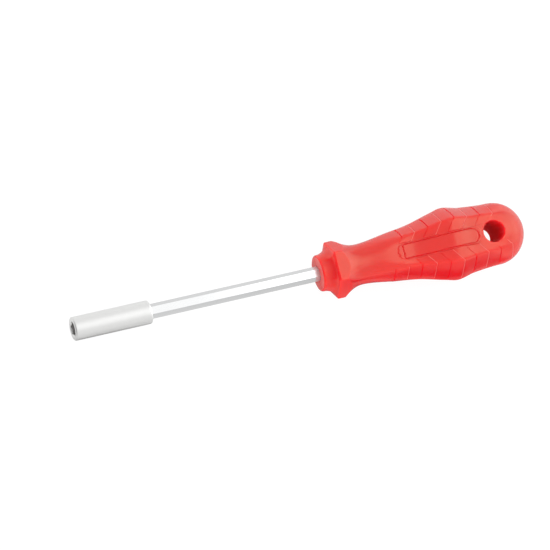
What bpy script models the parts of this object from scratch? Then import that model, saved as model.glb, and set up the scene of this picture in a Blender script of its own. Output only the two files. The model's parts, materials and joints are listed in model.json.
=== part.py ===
"""Bit holder screwdriver, lying at rest: moulded handle, hex shank and magnetic bit holder.

Metres, +Z up. Each piece is modelled along the tool's own axis, X, which runs from the mouth of
the bit holder at 0 to the butt of the handle. The tool is then laid down on the ground.
"""

import math

import bmesh
import bpy
from mathutils import Matrix, Vector

MM = 0.001

# Hex drive, shared by the shank, the bits and the socket
DRIVE_FLATS = 6.35 * MM
DRIVE_CLEARANCE = 0.08 * MM

# Bit holder
HOLDER_DIAMETER = 11.5 * MM
HOLDER_LENGTH = 39.0 * MM
HOLDER_MOUTH_CHAMFER = 0.45 * MM
HOLDER_REAR_ROUND = 1.2 * MM
SOCKET_DEPTH = 13.0 * MM
SOCKET_LEAD_IN = 0.6 * MM

# Magnet at the bottom of the socket
MAGNET_LENGTH = 4.0 * MM
MAGNET_CHAMFER = 0.3 * MM
MAGNET_CLEARANCE = 0.15 * MM

# Retaining ring in its groove near the mouth
RING_AT = 4.5 * MM
RING_WIRE = 0.7 * MM
RING_INNER_DIAMETER = 6.96 * MM
RING_CLEARANCE = 0.13 * MM
RING_GAP = math.radians(40)

# Shank
REACH = 125.0 * MM
TANG_LENGTH = 66.0 * MM
TANG_CLEARANCE = 0.1 * MM
WING_SPAN = 10.4 * MM
WING_THICKNESS = 2.4 * MM
WING_LENGTH = 12.0 * MM
WING_TAPER = 3.0 * MM
WINGS_AT = (26.0 * MM, 48.0 * MM)

# Handle, with places measured from its nose
HANDLE_LENGTH = 106.0 * MM
NOSE_RADIUS = 8.9 * MM
NOSE_ROUND = 0.8 * MM
GUARD_FRONT = 6.4 * MM
GUARD_SHOULDER = 0.8 * MM
GUARD_CORNER_END = 10.4 * MM
GUARD_CORNER_RADIUS = 14.05 * MM
NECK_AT = 20.9 * MM
NECK_RADIUS = 9.8 * MM
FOREGRIP_AT = 38.0 * MM
FOREGRIP_RADIUS = 11.95 * MM
GRIP_AT = 48.0 * MM
GRIP_RADIUS = 13.3 * MM

# Rear of the handle, with places measured from its butt
SWELL_SETBACK = 44.0 * MM
SWELL_RADIUS = 16.7 * MM
BELLY_SETBACK = 38.0 * MM
BELLY_RADIUS = 17.95 * MM
TAIL_SETBACK = 29.0 * MM
TAIL_RADIUS = 16.2 * MM
BUTT_RADIUS = 15.2 * MM

# Grip: two wide panels, above and below, and four narrower facets
PANEL_HALF_ANGLE = math.radians(37)
PANEL_STRIP = 9.0 * MM
GRIP_EDGE_RADIUS = 2.0 * MM

# Tread: bands that stand proud on one side of the handle where they are sunk on the other
TREAD_START = 35.7 * MM
TREAD_SETBACK = 9.5 * MM
TREAD_PITCH = 6.7 * MM
TREAD_HEIGHT = 0.3 * MM
TREAD_WALL = 0.5 * MM
TREAD_SLANT = 0.75

# Hanging hole
HOLE_SETBACK = 18.3 * MM
HOLE_DIAMETER = 10.6 * MM
HOLE_RIM = 0.7 * MM
HOLE_SURROUND = 15.0 * MM

# Fineness of the round forms
TURNED_STEPS = 48
STRIP_COLUMNS = 2
PANEL_COLUMNS = 2
SIDE_COLUMNS = 10
ARC_STEPS = 5
FLARE_STEPS = 7
SHOULDER_STEPS = 3
NECK_STEPS = 6
DOME_STEPS = 8
RING_STEPS = 40

# Sizes that follow from those above
SOCKET_FLATS = DRIVE_FLATS + 2 * DRIVE_CLEARANCE
RING_RADIUS = (RING_INNER_DIAMETER + RING_WIRE) / 2
GROOVE_RADIUS = RING_RADIUS + RING_WIRE / 2 + RING_CLEARANCE
GROOVE_WIDTH = RING_WIRE + 2 * RING_CLEARANCE
MAGNET_RADIUS = SOCKET_FLATS / 2 - MAGNET_CLEARANCE
SHANK_FRONT = SOCKET_DEPTH + MAGNET_LENGTH + TANG_CLEARANCE
SHANK_LENGTH = REACH + TANG_LENGTH - SHANK_FRONT
DOME_CENTRE = HANDLE_LENGTH - BUTT_RADIUS
HOLE_AT = HANDLE_LENGTH - HOLE_SETBACK
TREAD_BANDS = int((HANDLE_LENGTH - TREAD_SETBACK - TREAD_START) / TREAD_PITCH)
TREAD_END = TREAD_START + TREAD_BANDS * TREAD_PITCH
GRIP_PROFILE = (
    (NECK_AT, NECK_RADIUS),
    (FOREGRIP_AT, FOREGRIP_RADIUS),
    (GRIP_AT, GRIP_RADIUS),
    (HANDLE_LENGTH - SWELL_SETBACK, SWELL_RADIUS),
    (HANDLE_LENGTH - BELLY_SETBACK, BELLY_RADIUS),
    (HANDLE_LENGTH - TAIL_SETBACK, TAIL_RADIUS),
    (DOME_CENTRE, BUTT_RADIUS),
)

QUARTER = math.pi / 2
HALF_FACET = math.pi / 6
PANEL_ANGLES = (QUARTER, 3 * QUARTER)
SHARP_ANGLE = math.radians(28)
CUT_PAST = 2.0 * MM
MERGE_WITHIN = 0.001 * MM
STRIP_ROUNDS = 4  # enough for a strip's angle to settle


def clear_scene():
    for obj in list(bpy.data.objects):
        bpy.data.objects.remove(obj, do_unlink=True)


def finish(name, colour, metallic, roughness):
    material = bpy.data.materials.new(name)
    material.use_nodes = True
    shader = material.node_tree.nodes["Principled BSDF"]
    shader.inputs["Base Color"].default_value = (*colour, 1.0)
    shader.inputs["Metallic"].default_value = metallic
    shader.inputs["Roughness"].default_value = roughness
    material.diffuse_color = (*colour, 1.0)
    return material


def piece(name, data, tool, x, material):
    """A visible sub-part, placed along the tool's axis."""
    obj = bpy.data.objects.new(name, data)
    bpy.context.scene.collection.objects.link(obj)
    obj.parent = tool
    obj.location.x = x
    data.materials.append(material)
    if obj.type == "MESH":
        data.shade_smooth()
        data.set_sharp_from_angle(angle=SHARP_ANGLE)
    return obj


def helper(name, data, tool, x):
    """A shape that cuts or joins another and isn't a sub-part itself."""
    obj = bpy.data.objects.new(name, data)
    bpy.context.scene.collection.objects.link(obj)
    obj.parent = tool
    obj.location.x = x
    obj.hide_render = True
    obj.display_type = "WIRE"
    return obj


def boolean(target, operation, other):
    modifier = target.modifiers.new(other.name, "BOOLEAN")
    modifier.operation = operation
    modifier.object = other
    modifier.solver = "EXACT"


def mesh_from(name, bm):
    bmesh.ops.recalc_face_normals(bm, faces=bm.faces[:])
    mesh = bpy.data.meshes.new(name)
    bm.to_mesh(mesh)
    bm.free()
    return mesh


def turned(name, profile):
    """A solid turned about X from (x, radius) points that start and end on the axis."""
    bm = bmesh.new()
    points = [bm.verts.new((x, 0, radius)) for x, radius in profile]
    edges = [bm.edges.new(pair) for pair in zip(points, points[1:])]
    bmesh.ops.spin(
        bm,
        geom=points + edges,
        axis=(1, 0, 0),
        cent=(0, 0, 0),
        angle=2 * math.pi,
        steps=TURNED_STEPS,
        use_merge=True,
    )
    bmesh.ops.remove_doubles(bm, verts=bm.verts[:], dist=MERGE_WITHIN)
    return mesh_from(name, bm)


def hex_bar(name, flats, length):
    """A hexagonal bar along X, with flats facing up and down."""
    bm = bmesh.new()
    upright = Matrix.Rotation(math.pi / 2, 4, "Y")
    corner = flats / 2 / math.cos(HALF_FACET)
    bmesh.ops.create_circle(bm, cap_ends=True, segments=6, radius=corner, matrix=upright)
    side = bmesh.ops.extrude_face_region(bm, geom=bm.faces[:])["geom"]
    moved = [item for item in side if isinstance(item, bmesh.types.BMVert)]
    bmesh.ops.translate(bm, verts=moved, vec=(length, 0, 0))
    return mesh_from(name, bm)


def wing_plate(name, margin):
    """A flat plate with tapered ends, wider than the shank on both sides, plus a margin all round."""
    half_length = WING_LENGTH / 2 + margin
    half_top = half_length - WING_TAPER
    half_span = WING_SPAN / 2 + margin
    half_root = DRIVE_FLATS / 4  # well inside the bar
    half_thickness = WING_THICKNESS / 2 + margin
    outline = [
        (-half_length, half_root),
        (-half_top, half_span),
        (half_top, half_span),
        (half_length, half_root),
    ]
    outline += [(-x, -y) for x, y in outline]
    bm = bmesh.new()
    face = bm.faces.new([bm.verts.new((x, y, -half_thickness)) for x, y in outline])
    side = bmesh.ops.extrude_face_region(bm, geom=[face])["geom"]
    moved = [item for item in side if isinstance(item, bmesh.types.BMVert)]
    bmesh.ops.translate(bm, verts=moved, vec=(0, 0, 2 * half_thickness))
    return mesh_from(name, bm)


def rounding(centre_x, centre_radius, size, start, end):
    """Points of an arc in a turned profile, from one angle to another."""
    angles = [start + (end - start) * step / ARC_STEPS for step in range(ARC_STEPS + 1)]
    return [(centre_x + size * math.cos(a), centre_radius + size * math.sin(a)) for a in angles]


def bit_holder(tool, steel):
    radius = HOLDER_DIAMETER / 2
    rear = HOLDER_LENGTH - HOLDER_REAR_ROUND
    profile = [(0, 0), (0, radius - HOLDER_MOUTH_CHAMFER), (HOLDER_MOUTH_CHAMFER, radius)]
    profile += rounding(rear, radius - HOLDER_REAR_ROUND, HOLDER_REAR_ROUND, math.pi / 2, 0)
    profile += [(HOLDER_LENGTH, 0)]
    holder = piece("bit_holder", turned("bit_holder", profile), tool, 0, steel)

    bore = hex_bar("hex_bore", SOCKET_FLATS, HOLDER_LENGTH + 2 * CUT_PAST)
    boolean(holder, "DIFFERENCE", helper("hex_bore", bore, tool, -CUT_PAST))

    half_width = GROOVE_WIDTH / 2
    groove = [
        (-half_width, 0),
        (-half_width, GROOVE_RADIUS),
        (half_width, GROOVE_RADIUS),
        (half_width, 0),
    ]
    boolean(holder, "DIFFERENCE", helper("ring_groove", turned("ring_groove", groove), tool, RING_AT))

    corner = SOCKET_FLATS / 2 / math.cos(HALF_FACET)
    wide = corner + SOCKET_LEAD_IN / 2
    lead_in = [(-CUT_PAST, 0), (-CUT_PAST, wide + CUT_PAST), (wide, 0)]
    boolean(holder, "DIFFERENCE", helper("mouth_lead_in", turned("mouth_lead_in", lead_in), tool, 0))
    return holder


def magnet(tool, nickel):
    inner = MAGNET_RADIUS - MAGNET_CHAMFER
    profile = [
        (0, 0),
        (0, inner),
        (MAGNET_CHAMFER, MAGNET_RADIUS),
        (MAGNET_LENGTH - MAGNET_CHAMFER, MAGNET_RADIUS),
        (MAGNET_LENGTH, inner),
        (MAGNET_LENGTH, 0),
    ]
    return piece("magnet", turned("magnet", profile), tool, SOCKET_DEPTH, nickel)


def retaining_ring(tool, spring_steel):
    """A split wire ring. Its origin is on the tool's axis, about which it turns in its groove."""
    wire = bpy.data.curves.new("retaining_ring", "CURVE")
    wire.dimensions = "3D"
    wire.bevel_depth = RING_WIRE / 2
    wire.bevel_resolution = 2
    wire.use_fill_caps = True
    spline = wire.splines.new("POLY")
    spline.points.add(RING_STEPS)
    for step, point in enumerate(spline.points):
        angle = RING_GAP / 2 + (2 * math.pi - RING_GAP) * step / RING_STEPS
        point.co = (0, RING_RADIUS * math.cos(angle), RING_RADIUS * math.sin(angle), 1)
    return piece("retaining_ring", wire, tool, RING_AT, spring_steel)


def shank(tool, chrome):
    bar = piece("shank", hex_bar("shank", DRIVE_FLATS, SHANK_LENGTH), tool, SHANK_FRONT, chrome)
    for number, depth in enumerate(WINGS_AT, 1):
        plate = wing_plate(f"wing_{number}", 0)
        boolean(bar, "UNION", helper(f"wing_{number}", plate, tool, REACH + depth))
    return bar


def smooth_step(start, end, x):
    share = min(max((x - start) / (end - start), 0), 1)
    return share * share * (3 - 2 * share)


def profile_slope(index):
    """Slope of the grip's profile at one of its points, level where the profile turns back."""
    if index in (0, len(GRIP_PROFILE) - 1):
        return 0
    (x0, r0), (x1, r1), (x2, r2) = GRIP_PROFILE[index - 1 : index + 2]
    before = (r1 - r0) / (x1 - x0)
    after = (r2 - r1) / (x2 - x1)
    return 0 if before * after <= 0 else 2 * before * after / (before + after)


def corner_radius(x):
    """Radius of the grip at the corners of its hexagon: a smooth profile, then a half-round butt."""
    if x >= DOME_CENTRE:
        return math.sqrt(max(BUTT_RADIUS**2 - (x - DOME_CENTRE) ** 2, 0))
    index = max(i for i, (start, _) in enumerate(GRIP_PROFILE) if i == 0 or start <= x)
    (x0, r0), (x1, r1) = GRIP_PROFILE[index : index + 2]
    span = x1 - x0
    t = (x - x0) / span
    bend = profile_slope(index) * t * (1 - t) ** 2 - profile_slope(index + 1) * t * t * (1 - t)
    return r0 + (r1 - r0) * smooth_step(x0, x1, x) + span * bend


def from_panel(angle):
    """Angle round the axis to the middle of the nearer panel, above or below."""
    return min(abs(angle - panel) for panel in PANEL_ANGLES)


def hexagon_radius(angle, corner, edge, panel_half):
    """Radius at an angle from +Y of a hexagon with corners on the Y axis, two panels and rounded edges."""
    offset = from_panel(angle)
    half, middle = panel_half, 0
    if offset > panel_half:
        half = (QUARTER - panel_half) / 2
        middle = panel_half + half
    from_corner = half - abs(offset - middle)
    arc_centre = corner - edge
    arc_end = math.atan2(edge * math.sin(half), arc_centre + edge * math.cos(half))
    if from_corner > arc_end:
        flat = arc_centre * math.cos(half) + edge
        return flat / math.cos(offset - middle)
    aside = arc_centre * math.sin(from_corner)
    return arc_centre * math.cos(from_corner) + math.sqrt(edge**2 - aside**2)


def panel_half_angle(x):
    """Half the angle that a panel takes up, which grows from the guard's regular hexagon to the grip."""
    return HALF_FACET + (PANEL_HALF_ANGLE - HALF_FACET) * smooth_step(NECK_AT, GRIP_AT, x)


def grip_radius(x, angle):
    """Radius of the grip without its tread: round at the neck and the butt, faceted between them."""
    corner = corner_radius(x)
    facets = smooth_step(NECK_AT, GRIP_AT, x)
    facets -= smooth_step(DOME_CENTRE, DOME_CENTRE + BUTT_RADIUS / 2, x)
    edge = corner + (GRIP_EDGE_RADIUS - corner) * facets
    return hexagon_radius(angle, corner, edge, panel_half_angle(x))


def sweep(station, offset):
    """How far the bands sweep towards the tip, at an angle from the middle of a panel."""
    half = panel_half_angle(station)
    if offset >= half:
        return 0
    fade = smooth_step(NECK_AT, TREAD_START, station) - smooth_step(TREAD_END, HANDLE_LENGTH, station)
    inside = grip_radius(station, PANEL_ANGLES[0]) * (math.tan(half) - math.tan(offset))
    return -TREAD_SLANT * inside * fade


def strip_angle(station, half_width):
    """Angle from the middle of a panel at which a swept ring is that far to the side."""
    angle = 0
    for _ in range(STRIP_ROUNDS):
        flat = grip_radius(station + sweep(station, angle), PANEL_ANGLES[0])
        angle = math.atan2(half_width, flat)
    return angle


def spread(start, end, steps):
    return [start + (end - start) * step / steps for step in range(steps + 1)]


def column_angles(station):
    """Angles round a ring, with columns along the edges of the plain strips and of the panels."""
    place = min(max(station, NECK_AT), TREAD_END)
    half = panel_half_angle(place)
    offsets = spread(0, strip_angle(place, (PANEL_STRIP - TREAD_WALL) / 2), STRIP_COLUMNS)
    offsets += spread(strip_angle(place, (PANEL_STRIP + TREAD_WALL) / 2), half, PANEL_COLUMNS)
    offsets += spread(half, QUARTER, SIDE_COLUMNS)[1:]
    angles = []
    for panel in PANEL_ANGLES:
        angles += [panel - offset for offset in reversed(offsets[1:])]
        angles += [panel + offset for offset in offsets[:-1]]
    return angles


def tread_height(band, x, y, offset):
    """Bands stand proud by turns on the -Y and +Y sides, clear of the plain strips and of the hole."""
    if band is None or (y < 0) != (band % 2 == 0) or abs(y) < PANEL_STRIP / 2:
        return 0
    if band == 0 and offset < PANEL_HALF_ANGLE:
        return 0
    clear = HOLE_SURROUND / 2
    return TREAD_HEIGHT * smooth_step(clear, clear + 2 * TREAD_WALL, math.hypot(x - HOLE_AT, y))


def point_at(x, radius, angle):
    return Vector((x, radius * math.cos(angle), radius * math.sin(angle)))


def nose_and_guard_rings():
    """Round nose, flare that turns hexagonal, the guard with its round shoulder, the slope to the neck."""
    angles = column_angles(NECK_AT)
    rings = []
    flat_nose = NOSE_RADIUS - NOSE_ROUND
    for x, radius in rounding(NOSE_ROUND, flat_nose, NOSE_ROUND, math.pi, math.pi / 2):
        rings.append([point_at(x, radius, a) for a in angles])
    guard = [hexagon_radius(a, GUARD_CORNER_RADIUS, 0, HALF_FACET) for a in angles]
    for step in range(1, FLARE_STEPS + 1):
        turn = math.pi / 2 * step / FLARE_STEPS
        x = NOSE_ROUND + (GUARD_FRONT - NOSE_ROUND) * math.sin(turn)
        grown = 1 - math.cos(turn)
        flare = [NOSE_RADIUS + (g - GUARD_SHOULDER - NOSE_RADIUS) * grown for g in guard]
        rings.append([point_at(x, radius, a) for radius, a in zip(flare, angles)])
    for step in range(1, SHOULDER_STEPS + 1):
        turn = math.pi / 2 * step / SHOULDER_STEPS
        x = GUARD_FRONT + GUARD_SHOULDER * (1 - math.cos(turn))
        drop = GUARD_SHOULDER * (1 - math.sin(turn))
        rings.append([point_at(x, g - drop, a) for g, a in zip(guard, angles)])
    slope_length = NECK_AT - GUARD_CORNER_END
    for step in range(NECK_STEPS + 1):
        ring = []
        for g, a in zip(guard, angles):
            share = math.sqrt((g - NECK_RADIUS) / (GUARD_CORNER_RADIUS - NECK_RADIUS))
            share *= 1 - step / NECK_STEPS
            radius = NECK_RADIUS + (GUARD_CORNER_RADIUS - NECK_RADIUS) * share**2
            ring.append(point_at(NECK_AT - slope_length * share, radius, a))
        rings.append(ring)
    return rings


def grip_stations():
    """Places along the grip, each with the tread band that it lies in."""
    lead = TREAD_START - NECK_AT
    stations = [(NECK_AT + lead * step / NECK_STEPS, None) for step in range(1, NECK_STEPS)]
    stations.append((TREAD_START - TREAD_WALL / 2, None))
    for band in range(TREAD_BANDS):
        start = TREAD_START + band * TREAD_PITCH
        middle = start + TREAD_PITCH / 2
        end = start + TREAD_PITCH
        stations += [(start + TREAD_WALL / 2, band), (middle, band), (end - TREAD_WALL / 2, band)]
    stations.append((TREAD_END + TREAD_WALL / 2, None))
    first_turn = math.asin((TREAD_END + TREAD_WALL / 2 - DOME_CENTRE) / BUTT_RADIUS)
    for step in range(1, DOME_STEPS):
        turn = first_turn + (math.pi / 2 - first_turn) * step / DOME_STEPS
        stations.append((DOME_CENTRE + BUTT_RADIUS * math.sin(turn), None))
    return stations


def grip_rings():
    rings = []
    for station, band in grip_stations():
        ring = []
        for angle in column_angles(station):
            offset = from_panel(angle)
            x = station + sweep(station, offset)
            radius = grip_radius(x, angle)
            radius += tread_height(band, x, radius * math.cos(angle), offset)
            ring.append(point_at(x, radius, angle))
        rings.append(ring)
    return rings


def handle_skin():
    """The handle's outside, lofted through rings from the nose to the pole of the butt."""
    outline = nose_and_guard_rings() + grip_rings()
    bm = bmesh.new()
    rings = [[bm.verts.new(point) for point in ring] for ring in outline]
    columns = range(len(rings[0]))
    bm.faces.new(rings[0])
    for front, rear in zip(rings, rings[1:]):
        for column in columns:
            bm.faces.new((front[column - 1], front[column], rear[column], rear[column - 1]))
    pole = bm.verts.new((HANDLE_LENGTH, 0, 0))
    for column in columns:
        bm.faces.new((rings[-1][column - 1], rings[-1][column], pole))
    return mesh_from("handle", bm)


def hanging_hole(tool):
    """A bore from panel to panel with rounded rims."""
    face = grip_radius(HOLE_AT, PANEL_ANGLES[0]) + TREAD_HEIGHT
    bore = HOLE_DIAMETER / 2
    rim = rounding(face - HOLE_RIM, bore + HOLE_RIM, HOLE_RIM, 0, -math.pi / 2)
    mouth = [(face + CUT_PAST, 0), (face + CUT_PAST, bore + HOLE_RIM)] + rim
    profile = mouth + [(-x, radius) for x, radius in reversed(mouth)]
    cutter = helper("hanging_hole", turned("hanging_hole", profile), tool, REACH + HOLE_AT)
    cutter.rotation_euler.y = math.pi / 2
    return cutter


def handle(tool, red_plastic):
    grip = piece("handle", handle_skin(), tool, REACH, red_plastic)
    boolean(grip, "DIFFERENCE", hanging_hole(tool))
    seat_flats = DRIVE_FLATS + 2 * TANG_CLEARANCE
    seat = hex_bar("shank_seat", seat_flats, CUT_PAST + TANG_LENGTH + TANG_CLEARANCE)
    boolean(grip, "DIFFERENCE", helper("shank_seat", seat, tool, REACH - CUT_PAST))
    for number, depth in enumerate(WINGS_AT, 1):
        plate = wing_plate(f"wing_seat_{number}", TANG_CLEARANCE)
        boolean(grip, "DIFFERENCE", helper(f"wing_seat_{number}", plate, tool, REACH + depth))
    return grip


def corners_of(pieces):
    """Every corner of the finished pieces, in world space."""
    bpy.context.view_layer.update()
    graph = bpy.context.evaluated_depsgraph_get()
    corners = []
    for obj in pieces:
        made = obj.evaluated_get(graph)
        corners += [made.matrix_world @ vertex.co for vertex in made.to_mesh().vertices]
        made.to_mesh_clear()
    return corners


def lay_down(tool, pieces):
    """Tips the tool until the holder's lip and the belly touch the ground, its middle at the origin."""
    lip = Vector((HOLDER_MOUTH_CHAMFER, 0, -HOLDER_DIAMETER / 2))
    behind = [corner - lip for corner in corners_of(pieces) if corner.x > HOLDER_LENGTH]
    tool.rotation_euler.y = -max(math.atan2(-gap.z, gap.x) for gap in behind)
    corners = corners_of(pieces)
    lengthways = [corner.x for corner in corners]
    tool.location.x = -(min(lengthways) + max(lengthways)) / 2
    tool.location.z = -min(corner.z for corner in corners)


def build():
    clear_scene()
    tool = bpy.data.objects.new("tool_axis", None)
    bpy.context.scene.collection.objects.link(tool)
    red_plastic = finish("red_plastic", (0.78, 0.03, 0.03), 0.0, 0.32)
    chrome = finish("bright_chrome", (0.86, 0.87, 0.88), 1.0, 0.16)
    satin_steel = finish("satin_steel", (0.78, 0.78, 0.77), 1.0, 0.34)
    nickel = finish("nickel_magnet", (0.45, 0.44, 0.42), 1.0, 0.4)
    spring_steel = finish("spring_steel", (0.4, 0.4, 0.42), 1.0, 0.35)
    pieces = [
        handle(tool, red_plastic),
        shank(tool, chrome),
        bit_holder(tool, satin_steel),
        magnet(tool, nickel),
        retaining_ring(tool, spring_steel),
    ]
    lay_down(tool, pieces)


build()
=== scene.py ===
"""Looks of the bit holder screwdriver: its fine pieces, their finishes, the light and the camera.

Metres. Pieces are modelled along the tool's own axis, X, which runs from the mouth of the bit
holder at 0 to the butt of the handle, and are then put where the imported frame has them.
"""

import json
import math

import bpy
from mathutils import Matrix, Vector

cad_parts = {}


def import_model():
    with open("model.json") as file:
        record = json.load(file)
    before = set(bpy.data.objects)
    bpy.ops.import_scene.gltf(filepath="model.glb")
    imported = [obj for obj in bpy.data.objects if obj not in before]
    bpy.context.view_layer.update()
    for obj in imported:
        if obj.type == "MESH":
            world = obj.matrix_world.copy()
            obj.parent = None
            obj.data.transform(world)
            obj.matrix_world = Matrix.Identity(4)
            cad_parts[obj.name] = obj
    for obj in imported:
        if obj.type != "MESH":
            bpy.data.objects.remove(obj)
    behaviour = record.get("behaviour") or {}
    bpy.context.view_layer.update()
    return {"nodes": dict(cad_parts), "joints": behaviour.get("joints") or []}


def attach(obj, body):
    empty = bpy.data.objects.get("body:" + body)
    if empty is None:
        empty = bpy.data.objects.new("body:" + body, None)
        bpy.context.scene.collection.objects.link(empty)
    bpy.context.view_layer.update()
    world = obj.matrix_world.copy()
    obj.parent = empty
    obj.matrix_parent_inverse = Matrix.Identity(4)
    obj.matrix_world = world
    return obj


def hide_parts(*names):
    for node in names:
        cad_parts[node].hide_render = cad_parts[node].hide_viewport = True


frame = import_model()

MM = 0.001
QUARTER = math.pi / 2
HALF_FACET = math.pi / 6
PANEL_ANGLES = (QUARTER, 3 * QUARTER)

# Hex drive and bit holder
DRIVE_FLATS = 6.35 * MM
SOCKET_FLATS = 6.51 * MM
HOLDER_DIAMETER = 11.5 * MM
HOLDER_LENGTH = 39.0 * MM
MOUTH_CHAMFER = 0.45 * MM
REAR_ROUND = 1.2 * MM
SOCKET_LEAD_IN = 0.3 * MM
SOCKET_WALL = 1.2 * MM  # walls that lie deeper than this inside the sleeve belong to the socket

# Retaining ring and its groove
RING_AT = 4.5 * MM
RING_WIRE = 0.7 * MM
RING_RADIUS = 3.83 * MM
RING_CLEARANCE = 0.13 * MM
RING_GAP = math.radians(40)
GROOVE_HALF_WIDTH = RING_WIRE / 2 + RING_CLEARANCE

# Shank, which turns dull just before it enters the handle
REACH = 125.0 * MM
SHANK_EDGE = 0.12 * MM
DULL_FROM = REACH - 2.8 * MM
DULL_TO = REACH - 1.2 * MM

# Handle, with places measured from its nose
HANDLE_LENGTH = 106.0 * MM
NOSE_RADIUS = 8.9 * MM
NOSE_ROUND = 0.8 * MM
NOSE_GAP = 0.35 * MM
NOSE_GAP_DEPTH = 1.5 * MM
SEAT_CLEARANCE = 0.1 * MM
PARTING_LINE = 0.3 * MM
PARTING_DEPTH = 0.12 * MM
GUARD_FRONT = 6.4 * MM
GUARD_SHOULDER = 0.8 * MM
GUARD_CORNER_END = 10.4 * MM
GUARD_CORNER_RADIUS = 14.05 * MM
GUARD_EDGE_RADIUS = 0.8 * MM
NECK_AT = 20.9 * MM
NECK_RADIUS = 9.8 * MM
GRIP_AT = 48.0 * MM
BELLY_RADIUS = 17.95 * MM
BUTT_RADIUS = 15.2 * MM
DOME_CENTRE = HANDLE_LENGTH - BUTT_RADIUS
GRIP_PROFILE = (
    (NECK_AT, NECK_RADIUS),
    (38.0 * MM, 11.95 * MM),
    (GRIP_AT, 13.3 * MM),
    (62.0 * MM, 16.7 * MM),
    (68.0 * MM, BELLY_RADIUS),
    (77.0 * MM, 16.2 * MM),
    (DOME_CENTRE, BUTT_RADIUS),
)

# Grip: two wide panels, above and below, and four narrower facets, softened towards an oval
PANEL_HALF_ANGLE = math.radians(37)
PANEL_STRIP = 9.0 * MM
GRIP_EDGE_RADIUS = 2.0 * MM
OVAL_SHARE = 0.2
OVAL_FROM = 83.0 * MM
OVAL_TO = 98.0 * MM

# Tread: bands that stand proud on one side of the handle where they are sunk on the other
TREAD_START = 35.7 * MM
TREAD_PITCH = 6.7 * MM
TREAD_BANDS = 9
TREAD_HEIGHT = 0.2 * MM
TREAD_WALL = 0.25 * MM  # width of the walls where a band starts, along the strips and round the hole
TREAD_FALL = 0.6 * MM  # width of the wall where a band ends
# The line at a band's start gets painted shade, the line at its end a painted highlight
TREAD_LINE = 0.38 * MM  # width of the line at a band's start or end that has its own finish
TREAD_SLANT = 0.75
TREAD_END = TREAD_START + TREAD_BANDS * TREAD_PITCH

# Bare label field on each panel: a line round it, on a thin pad
FIELD_FRONT = 41.3 * MM
FIELD_REAR = 79.4 * MM
FIELD_WIDTH = 7.0 * MM
FIELD_FRONT_ROUND = 1.0 * MM
FIELD_LINE = 0.3 * MM
FIELD_DEPTH = 0.05 * MM
PAD_FRONT = 38.6 * MM
PAD_REAR = 81.0 * MM
PAD_WIDTH = 8.4 * MM
PAD_HEIGHT = 0.09 * MM

# Hanging hole
HOLE_AT = 87.7 * MM
HOLE_DIAMETER = 10.6 * MM
HOLE_RIM = 0.7 * MM
HOLE_SURROUND = 15.0 * MM

# Fineness of the round forms
TURNED_STEPS = 128
RING_STEPS = 96
WIRE_SIDES = 16
STRIP_COLUMNS = 10
WALL_COLUMNS = 4
PANEL_COLUMNS = 8
EDGE_COLUMNS = 8
SIDE_COLUMNS = 12
EDGE_SPREAD = math.radians(6)
ARC_STEPS = 8
FLARE_STEPS = 18
SLOPE_STEPS = 14
NECK_STEPS = 22
WALL_STEPS = 10
PLATEAU_STEPS = 6
DOME_STEPS = 26
SWEEP_ROUNDS = 4  # enough for a place on a swept ring to settle

# Limits for cutting, merging, shading and bevelling
CUT_PAST = 2.0 * MM
MERGE_WITHIN = 0.001 * MM
SMOOTH_BELOW = math.radians(28)
SHARP_FROM = math.radians(20)
FLAT_WITHIN = math.radians(1)

# Span of the values that a noise mostly takes
NOISE_RANGE = (0.3, 0.7)

# Finishes of the handle, in the order of its material slots, and the sleeve's second finish. The bore's
# finish paints light, the line finish paints shade, the highlight finish paints highlights, the nose's
# finish paints a sheen, and the sleeve's second finish paints shade in the socket
GLOSSY, BORE, SHADE_LINE, HIGHLIGHT_LINE, NOSE_SHEEN = range(5)
SOCKET = 1

# Walls of the socket and of the hanging hole, told by how far their faces point inward or upward
SOCKET_INWARD_FROM = 0.8
HOLE_UPWARD_BELOW = 0.5

# How far the colour of the dull plastic drifts, as a share of it
DULL_DRIFT = 0.03

# Floor: its grey for the light that it gives back, and its grey and glow for the camera
FLOOR_SIZE = 8
FLOOR_WHITE = (0.62, 0.62, 0.62, 1)
FLOOR_SHADED = (0.15, 0.15, 0.15, 1)
FLOOR_GLOW = 0.9

# Floor in reflections: its painted brightness at places across the tool, darker on the shaded -Y side, soft
# painted shadows beside the belly and under the bit holder and the handle, each with its place, radii and
# darkest value, and a painted glow beyond the butt
FLOOR_ACROSS = ((-0.06, 0.5), (-0.02, 0.76), (0.02, 0.78), (0.06, 0.86))
FLOOR_HALF_WIDTH = 0.08
FLOOR_SHADOWS = (
    ((0.083, -0.055, 0), (0.052, 0.03, 1), 0.15),
    ((-0.095, -0.01, 0), (0.04, 0.011, 1), 0.35),
    ((0.05, -0.006, 0), (0.075, 0.03, 1), 0.3),
)
SPOT_CORE = 0.6  # share of the way from a spot's rim to its middle at which it is darkest
BEYOND_BUTT = (0.125, 0.18)
BEYOND_GLOW = 0.55

# Surround: its even light, and in reflections two rises along X, each from a start to an end and from a
# first value to a last
SURROUND = 0.74
SURROUND_RISE = (-0.9, 0.3, 0.2, 0.8)
SURROUND_END = (0.7, 1.0, 0, 0.6)

# Lamps: degrees leant towards +X and +Y, distance, width, depth, radiance, whether reflections show it
LAMPS = {
    "overhead_softbox": (40, 3, 1.4, 2.0, 1.8, 0.32, True),
    "handle_softbox": (34, 5, 0.55, 0.46, 0.3, 0.4, True),
    "end_softbox": (60, 16, 0.6, 0.45, 0.5, 0.3, True),
    "key_softbox": (0, 60, 1.5, 1.2, 0.9, 2.3, False),
    "side_fill": (0, -76, 1.2, 1.2, 0.6, 3.6, False),
    "tip_fill": (-80, 0, 1.2, 0.4, 1.2, 4.2, False),
}

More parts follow.
